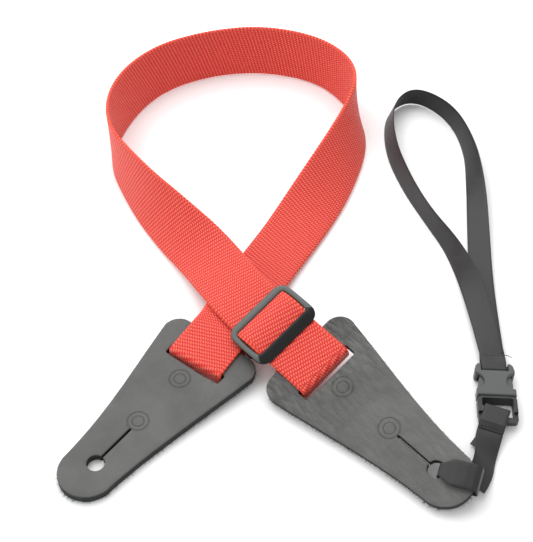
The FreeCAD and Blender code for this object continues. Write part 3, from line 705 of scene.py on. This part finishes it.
def end_tab(name, frame_, top, seed, sag):
    """Bent leather tab with rounded cut edges."""
    loops = [tab_loop(seed), keyhole_loop(), slot_loop()]
    face_loops = [inset(loop, EDGE_ROUND) for loop in loops]
    flat, triangles = fill(face_loops, 1.6)
    verts = []
    uvs = []
    faces = []
    slots = []

    def put(u, v, w):
        dip = sag * math.sin(u * 0.11 + 1.3) * math.sin(v * 0.13 + 0.4)
        verts.append(frame_ @ Vector((u, v, tab_rise(u) + w + dip)))
        uvs.append((u, v))
        return len(verts) - 1

    top_ids = [put(p.x, p.y, LEATHER) for p in flat]
    low_ids = [put(p.x, p.y, 0.0) for p in flat]
    for f in triangles:
        a, b, c = f
        faces.append((top_ids[a], top_ids[b], top_ids[c]))
        faces.append((low_ids[c], low_ids[b], low_ids[a]))
        slots += [0, 1]
    levels = [(0.2, LEATHER - 0.07), (0.05, LEATHER - 0.25), (0.0, LEATHER - 0.5),
              (0.06, LEATHER * 0.6), (0.0, LEATHER * 0.3), (0.05, 0.25), (0.2, 0.05)]
    offset = 0
    for loop in loops:
        n = len(loop)
        rings = [[top_ids[offset + i] for i in range(n)]]
        for depth, w in levels:
            rings.append([put(p.x, p.y, w) for p in inset(loop, depth)])
        rings.append([low_ids[offset + i] for i in range(n)])
        for r, (upper, lower) in enumerate(zip(rings, rings[1:])):
            for i in range(n):
                j = (i + 1) % n
                faces.append((upper[i], lower[i], lower[j], upper[j]))
                slots.append(0 if r < 2 else 1)
        offset += n
    return make_mesh(name, verts, faces, [top, LEATHER_EDGE], uvs, slots)


def fuzz(name, frame_, seed, count, longest):
    """Loose fibres standing out of the lower part of the cut edge."""
    rng = random.Random(seed)
    loop = tab_loop(seed)
    verts = []
    faces = []
    for _ in range(count):
        i = rng.randrange(len(loop))
        a, b = loop[i], loop[(i + 1) % len(loop)]
        if (b - a).length > 6:
            continue
        p = a.lerp(b, rng.random())
        d = (b - a).normalized()
        out = Vector((d.y, -d.x))
        w = rng.uniform(0.1, 1.0)
        reach = longest * rng.random() ** 2 + 0.25
        side = rng.uniform(-0.9, 0.9)
        thick = rng.uniform(0.05, 0.11)
        first = len(verts)
        for k, f in enumerate((0.0, 0.5, 1.0)):
            q = p + out * (reach * f - 0.2) + d * (side * reach * f * f)
            z = tab_rise(p.x) + w - 0.35 * w * f
            r = thick * (1 - 0.8 * f)
            for m in range(3):
                turn = 2 * math.pi * m / 3
                verts.append(frame_ @ Vector((q.x + d.x * r * math.cos(turn),
                                              q.y + d.y * r * math.cos(turn),
                                              max(0.02, z + r * math.sin(turn)))))
        for k in range(2):
            for m in range(3):
                a0 = first + 3 * k + m
                b0 = first + 3 * k + (m + 1) % 3
                faces.append((a0, b0, b0 + 3, a0 + 3))
    return make_mesh(name, verts, faces, [LEATHER_EDGE])


def build_tabs():
    for side, place_, top, seed, sag in (("left", LEFT, LEATHER_LEFT, 3, 0.0),
                                         ("right", RIGHT, LEATHER_RIGHT, 8, 0.08)):
        tab = end_tab("end_tab_%s_leather" % side, place_, top, seed, sag)
        finish_piece(tab, "tab_" + side, ["end_tab_" + side])
        fibres = fuzz("end_tab_%s_fibres" % side, place_, seed, 700, 1.3)
        finish_piece(fibres, "tab_" + side)


# --------------------------------------------------------------------- webbing
def strap_rows():
    """Rows from the left tab round the loop to the fold on the right tab."""
    route = list(STRAP_ROUTE)
    flex = RUN.translation
    cut = RIGHT_SLOT @ Vector((FOLD_CUT, 0, TOP_AT_SLOT))
    route.append((*flex, LEAN_RIGHT))
    route.append((*cut, LEAN_RIGHT))
    return route_rows(route, WEAVE_STEP)


def webbing(name, rows, start=0.0, caps=True):
    return sweep(name, rows, WEBBING_WIDTH, WEBBING, RED, 14, SCALLOP, SCALLOP_PITCH, start, caps)


def build_webbing():
    rows = strap_rows()
    near = round(LOOP_FROM / WEAVE_STEP)
    far = len(rows) - 1 - round(LOOP_SHORT_OF_END / WEAVE_STEP)
    step = total_length(rows) / (len(rows) - 1)
    loop_rows = rows[near:far + 1]
    loop = webbing("webbing_loop_cloth", loop_rows, near * step, False)
    finish_piece(loop, "strap_loop", ["webbing_loop"])
    build_left_end(rows[:near + 1], near * step)
    build_right_end(rows[far:], far * step)
    high_end, high, low, low_end = KEEPER_LAYERS
    profile = [(KEEPER_END, high_end), (KEEPER_KNEE, high), (KEEPER_TURN, high),
               (KEEPER_TURN, low), (KEEPER_KNEE, low), (KEEPER_END, low_end)]
    keeper = webbing("webbing_keeper_cloth",
                     folded_rows(profile, KEEPER_RADIUS, RUN_LOW, WEAVE_STEP), 0)
    finish_piece(keeper, "slider", ["webbing_keeper"])
    arch = sweep("webbing_arch_cloth", arch_rows(), ARCH_WIDTH, WEBBING, RED, 14)
    finish_piece(arch, "slider")


def build_left_end(lead, start):
    """First stretch of the strap, its fold through the slot and the sewn tail."""
    profile = [(FLEX_REACH, TOP_AT_END), (LEFT_FOLD_AT, TOP_AT_SLOT - 0.05),
               (LEFT_FOLD_AT, UNDER_HEIGHT), (FLEX_REACH - 2, UNDER_HEIGHT)]
    fold = folded_rows(profile, FOLD_RADIUS, LEFT_SLOT, WEAVE_STEP, True)
    under = LEFT_SLOT @ Vector((FLEX_REACH - 2, 0, UNDER_HEIGHT))
    out = LEFT_SLOT @ Vector((FLEX_REACH + 0.5, 0, UNDER_HEIGHT + 0.1))
    tail_route = [(*under, 90), (*out, 90), (49.6, 66.5, 3.2, 90), (54.8, 81.3, 2.95, 88),
                  (57.8, 87.1, 2.35, 87)]
    tail = [(p, w, -n) for p, w, n in route_rows(tail_route, WEAVE_STEP)]
    chain = lead[::-1][:-1] + fold[:-1] + tail
    end = webbing("webbing_end_left_cloth", chain, -start)
    finish_piece(end, None, ["webbing_end_left", "webbing_tail_left"])
    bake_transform(end)


def build_right_end(lead, start):
    """Last stretch over the right tab, its fold and the layer under the tab."""
    top = webbing("webbing_top_right_cloth", lead, start, False)
    finish_piece(top)
    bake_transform(top)
    length = start + total_length(lead)
    profile = [(FOLD_CUT + 0.8, TOP_AT_SLOT - 0.03), (RIGHT_FOLD_AT, TOP_AT_SLOT - 0.06),
               (RIGHT_FOLD_AT, UNDER_HEIGHT), (UNDER_END, UNDER_HEIGHT)]
    fold = webbing("webbing_end_right_cloth",
                   folded_rows(profile, FOLD_RADIUS, RIGHT_SLOT, WEAVE_STEP, True), length)
    finish_piece(fold, "tab_right", ["webbing_end_right"])


def arch_rows():
    """Webbing rising through the slider's window, between its two end bars."""
    rows = []
    turn = RUN_LOW.to_3x3()
    count = 44
    ahead = 0.01

    def height(f):
        swell = math.sin(math.pi * min(f, 1)) ** 0.85
        return ARCH_FOOT + ARCH_RISE * swell * (1 - 0.25 * (1 - f))

    for i in range(count + 1):
        f = i / count
        x = ARCH_FROM + (ARCH_TO - ARCH_FROM) * f
        slope = 0.0
        if 0 < i < count:
            slope = (height(f + ahead) - height(f)) / (ahead * (ARCH_TO - ARCH_FROM))
        d = Vector((1, 0, slope)).normalized()
        rows.append((RUN_LOW @ Vector((x, 0, height(f))), turn @ Y, turn @ d.cross(Y)))
    return rows


# ---------------------------------------------------------------------- slider
def rounded_ring(x0, x1, half, corner, bow, n=7):
    """Points of a rounded rectangle whose two sides across Y bow outward."""
    pts = []
    spots = ((x1 - corner, half - corner, 0), (x0 + corner, half - corner, 90),
             (x0 + corner, corner - half, 180), (x1 - corner, corner - half, 270))
    for index, (cx, cy, first) in enumerate(spots):
        for k in range(n + 1):
            a = math.radians(first + 90 * k / n)
            pts.append(Vector((cx + corner * math.cos(a), cy + corner * math.sin(a))))
        nx, ny, _ = spots[(index + 1) % 4]
        a = math.radians(first + 90)
        p = pts[-1]
        q = Vector((nx + corner * math.cos(a), ny + corner * math.sin(a)))
        pts += [p.lerp(q, k / 8) for k in range(1, 8)]
    middle = (x0 + x1) / 2
    span = (x1 - x0) / 2
    for p in pts:
        f = 1 - ((p.x - middle) / span) ** 2
        p.y += math.copysign(bow * f, p.y) * min(1, abs(p.y) / (half * 0.8)) ** 4
    return pts


def slider_frame():
    """Rounded frame: a broad sloping near bar, slim side rails and far bar."""
    outer = rounded_ring(SLIDER_NEAR, SLIDER_FAR, SLIDER_HALF, SLIDER_CORNER, SLIDER_BOW)
    inner = rounded_ring(SLIDER_NEAR + NEAR_BAR, SLIDER_FAR - FAR_BAR, SLIDER_HALF - RAIL,
                         WINDOW_CORNER, WINDOW_BOW)
    verts = []
    faces = []
    slots = []
    nearness = []
    m = 16
    for o, i in zip(outer, inner):
        mid = (o + i) / 2
        reach = (o - i) / 2
        rail = min(1, max(0, (abs(mid.y) - RAIL_FROM) / RAIL_BLEND))
        low = BAR_LOW * (1 - rail) + RAIL_LOW * rail
        near = min(1, max(0, (NEAR_BAR_TO - mid.x) / NEAR_BLEND))
        top = BAR_TOP + NEAR_BAR_RISE * near
        nearness.append(near)
        for k in range(m):
            a = 2 * math.pi * k / m
            c, s = math.cos(a), math.sin(a)
            c = math.copysign(abs(c) ** 0.7, c)
            s = math.copysign(abs(s) ** 0.7, s)
            p = mid + reach * c
            fall = near * NEAR_BAR_FALL * max(0.0, c + 0.7) / 1.7 * (0.5 + 0.5 * s)
            z = (low + top) / 2 + (top - low) / 2 * s - fall
            verts.append(RUN_LOW @ Vector((p.x, p.y, z)))
    count = len(outer)
    for r in range(count):
        for k in range(m):
            a = r * m + k
            b = r * m + (k + 1) % m
            c = ((r + 1) % count) * m + (k + 1) % m
            d = ((r + 1) % count) * m + k
            faces.append((a, b, c, d))
            on_top = math.sin(2 * math.pi * (k + 0.5) / m) > 0.5
            # top faces away from the near bar take the lighter plastic, a painted light on the top
            slots.append(1 if on_top and nearness[r] < 0.35 else 0)
    return make_mesh("slider_frame", verts, faces, [SLIDER_PLASTIC, SLIDER_LIT_TOP], None, slots)


def block(name, frame_, low, high, material, radius):
    """Box with bevelled edges."""
    verts = []
    for x in (low[0], high[0]):
        for y in (low[1], high[1]):
            for z in (low[2], high[2]):
                verts.append(frame_ @ Vector((x, y, z)))
    faces = [(0, 1, 3, 2), (4, 6, 7, 5), (0, 4, 5, 1), (2, 3, 7, 6), (0, 2, 6, 4), (1, 5, 7, 3)]
    obj = make_mesh(name, verts, faces, [material])
    bevel(obj, radius)
    return obj


def bevel(obj, width):
    """Rounds hard edges, and shades the flats as flats."""
    m = obj.modifiers.new("round", "BEVEL")
    m.width = width * MM
    m.segments = 3
    m.limit_method = "ANGLE"
    m.angle_limit = math.radians(38)
    m.harden_normals = True
    for polygon in obj.data.polygons:
        polygon.use_smooth = True


def build_slider():
    body = slider_frame()
    finish_piece(body, "slider", ["slider_tri_glide"])
    reach = SLIDER_HALF - 0.2
    pin = block("slider_pin", RUN_LOW, (PIN_NEAR, -reach, PIN_LOW),
                (PIN_NEAR + PIN_WIDTH, reach, PIN_TOP), SLIDER_PLASTIC, 0.5)
    finish_piece(pin, "slider")
    for y in (-SLIDER_HALF, SLIDER_HALF - POST_WIDTH):
        post = block("slider_post", RUN_LOW, (PIN_NEAR - 0.8, y, PIN_LOW),
                     (PIN_NEAR + PIN_WIDTH + 0.9, y + POST_WIDTH, BAR_LOW - 0.3),
                     SLIDER_PLASTIC, 0.4)
        finish_piece(post, "slider")


# -------------------------------------------------------------------- stitches
def capsule_row(name, frame_, length, pitch, thickness, material):
    """Row of stitches across Y, each a small rounded bead."""
    verts = []
    faces = []
    count = int(length // pitch)
    rings, sides = 5, 8
    for i in range(count):
        middle = (i - (count - 1) / 2) * pitch
        half = pitch * 0.42
        first = len(verts)
        for r in range(rings):
            f = -1 + 2 * r / (rings - 1)
            width = thickness / 2 * math.sqrt(max(0.05, 1 - f * f * 0.94))
            for k in range(sides):
                a = 2 * math.pi * k / sides
                lift = 0.1 * (1 - f * f) - 0.1
                verts.append(frame_ @ Vector((width * math.cos(a), middle + half * f,
                                              width * math.sin(a) + lift)))
        for r in range(rings - 1):
            for k in range(sides):
                a = first + r * sides + k
                b = first + r * sides + (k + 1) % sides
                faces.append((a, b, b + sides, a + sides))
        faces.append(tuple(reversed(range(first, first + sides))))
        faces.append(tuple(range(first + (rings - 1) * sides, first + rings * sides)))
    return make_mesh(name, verts, faces, [material])


def thread(name, points, radius, material):
    """Thin round thread along a smooth line."""
    line = nurbs_points(points, 8)
    verts = []
    faces = []
    sides = 6
    for i, p in enumerate(line):
        d = (line[min(i + 1, len(line) - 1)] - line[max(i - 1, 0)]).normalized()
        a = d.cross(Z).normalized()
        b = d.cross(a)
        for k in range(sides):
            t = 2 * math.pi * k / sides
            verts.append(p + a * (radius * math.cos(t)) + b * (radius * math.sin(t)))
    for i in range(len(line) - 1):
        for k in range(sides):
            c = i * sides + k
            e = i * sides + (k + 1) % sides
            faces.append((c, e, e + sides, c + sides))
    return make_mesh(name, verts, faces, [material])


def row_frame(rows, index, lift):
    """Frame on the face of a strip, its Y axis across the strip."""
    p, w, n = rows[index]
    d = w.cross(n)
    turn = Matrix((d, w, n)).transposed().to_4x4()
    return Matrix.Translation(p + n * lift) @ turn


def build_stitches():
    rows = strap_rows()
    for i, at in enumerate(TAIL_STITCH_AT):
        f = row_frame(rows, round(at / WEAVE_STEP), WEBBING / 2)
        row = capsule_row("tail_stitches_%d" % i, f, STITCH_ROW, STITCH_PITCH, STITCH_THREAD,
                          RED_THREAD)
        finish_piece(row, "strap_loop", ["webbing_tail_stitches"] if i == 0 else ())
    at, height = KEEPER_STITCH
    f = RUN_LOW @ place((at, 0, height), 0, KEEPER_SLOPE) @ Matrix.Rotation(math.pi, 4, "X")
    row = capsule_row("keeper_stitches", f, STITCH_ROW, STITCH_PITCH, STITCH_THREAD, RED_THREAD)
    finish_piece(row, "slider", ["webbing_keeper_stitches"])


# ------------------------------------------------------------------------- tie
def ribbon(name, rows, start=0.0, width=RIBBON_WIDTH, widths=None):
    return sweep(name, rows, width, RIBBON, BLACK, 8, 0.07, 0.8, start, True, widths)


def wrap_profile(leg, knee, hem):
    """Side view of a ribbon folded round a bar, its two layers closing at the hem."""
    return [(hem, HEM_HALF_GAP), (knee, WRAP_LEVEL), (leg, WRAP_LEVEL),
            (leg, -WRAP_LEVEL), (knee, -WRAP_LEVEL), (hem, -HEM_HALF_GAP)]


def build_tie():
    rows = route_rows(TIE_ROUTE, 0.8)
    loop = ribbon("tie_loop_cloth", rows)
    finish_piece(loop, "tie_loop", ["tie_loop_ribbon"])
    profile = wrap_profile(TIE_LEG, TIE_KNEE, TIE_HEM)
    wrap = ribbon("tie_loop_wrap_cloth", folded_rows(profile, RIBBON_FOLD, BUCKLE, 0.5, True))
    finish_piece(wrap, "tie_loop", ["tie_loop_wrap"])
    hem = BUCKLE @ place((TIE_HEM - 1.3, 0, 0.86), 0, -12.0)
    row = capsule_row("tie_hem_stitches_thread", hem, TIE_STITCH_ROW, TIE_STITCH_PITCH, 0.45,
                      BLACK_THREAD)
    finish_piece(row, "tie_loop", ["tie_hem_stitches"])
    loose = thread("tie_loose_thread", [(163.9, 52.2, 3.7), (165.2, 52, 4.2), (166.6, 51.5, 4.3),
                                        (167.9, 50.7, 3.9)], 0.13, BLACK_THREAD)
    finish_piece(loose, "tie_loop")
    profile = wrap_profile(0, BASE_KNEE, BASE_HEM)
    base = ribbon("tie_base_wrap_cloth", folded_rows(profile, RIBBON_FOLD, BASE_FOLD, 0.5, True))
    finish_piece(base, "buckle_base", ["tie_base_wrap"])
    seam = BASE_FOLD @ place((BASE_HEM - 0.9, 0, 0.98), 3.0, -20.5)
    row = capsule_row("tie_base_stitches_thread", seam, TIE_STITCH_ROW, TIE_STITCH_PITCH, 0.42,
                      BLACK_THREAD)
    finish_piece(row, "buckle_base", ["tie_base_stitches"])
    run = ribbon("tie_base_cloth", route_rows(BASE_ROUTE, 0.5))
    finish_piece(run, None, ["tie_base_ribbon"])
    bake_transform(run)
    tail = ribbon("tie_tail_cloth", route_rows(TAIL_ROUTE, 0.5), 0, TAIL_WIDTH)
    finish_piece(tail, "tab_right", ["tie_base_tail"])
    hitch = hitch_rows()
    widths = [w for *_, w in hitch]
    band = ribbon("tie_hitch_cloth", [r[:3] for r in hitch], 0, RIBBON_WIDTH, widths)
    finish_piece(band, "tab_right", ["tie_hitch_over", "tie_hitch_under"])


def hitch_rows():
    """Ribbon through the button hole, over the leather and round its edge."""
    profile = [(1.4, -0.55), (1.2, 1.7), (1.6, 3.9), (4.4, 4.75), (8.0, 5.1), (11.8, 5.0),
               (14.8, 4.6), (16.5, 3.8), (16.6, -0.5), (8.0, -0.55), (2.4, -0.6)]
    rows = folded_rows(profile, 0.62, HITCH, 0.5)
    out = []
    inverse = HITCH.inverted()
    for p, w, n in rows:
        x = (inverse @ p).x
        f = min(1, max(0, (x - HITCH_HOLE_LEG) / HITCH_SPREAD))
        f = f * f * (3 - 2 * f)
        out.append((p, w, n, HITCH_HOLE_WIDTH + (RIBBON_WIDTH - HITCH_HOLE_WIDTH) * f))
    return out


# ---------------------------------------------------------------------- buckle
def build_buckle():
    for node in ("buckle_female", "buckle_male", "buckle_prong_left", "buckle_prong_right"):
        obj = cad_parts[node]
        obj.data.materials.clear()
        obj.data.materials.append(MALE_PLASTIC if node == "buckle_male" else BUCKLE_PLASTIC)
        bevel(obj, 0.14)


# ----------------------------------------------------------------------- stage
def build_stage():
    floor = make_mesh("floor", [(-3000, -3000, -0.1), (3000, -3000, -0.1), (3000, 3000, -0.1),
                                (-3000, 3000, -0.1)], [(0, 1, 2, 3)],
                      [plain_material("floor", (0.93, 0.93, 0.935), 0.9)])
    world = bpy.data.worlds.new("studio")
    world.use_nodes = True
    world.node_tree.nodes["Background"].inputs[0].default_value = (1, 1, 1, 1)
    world.node_tree.nodes["Background"].inputs[1].default_value = 0.8
    bpy.context.scene.world = world
    for name, where, aim, size, power in (
            ("key", (-0.1, 0.75, 0.85), (0.07, 0.1, 0), 1.3, 12.0),
            ("side", (-0.8, 0.1, 0.7), (0.07, 0.1, 0), 1.2, 4.0)):
        lamp = bpy.data.lights.new(name, "AREA")
        lamp.size = size
        lamp.energy = power
        obj = bpy.data.objects.new(name, lamp)
        obj.location = where
        obj.rotation_euler = (Vector(aim) - Vector(where)).to_track_quat("-Z", "Y").to_euler()
        bpy.context.scene.collection.objects.link(obj)


def build_camera():
    camera = bpy.data.cameras.new("camera")
    camera.sensor_width = 36
    camera.lens = 76.67
    camera.clip_start = 0.01
    obj = bpy.data.objects.new("camera", camera)
    obj.location = (0.0660, -0.24314, 0.38421)
    obj.rotation_euler = (math.radians(42), 0, 0)
    bpy.context.scene.collection.objects.link(obj)
    bpy.context.scene.camera = obj


build_camera()
build_tabs()
build_webbing()
build_slider()
build_stitches()
build_tie()
build_buckle()
build_stage()
bpy.context.scene.view_settings.view_transform = "Standard"
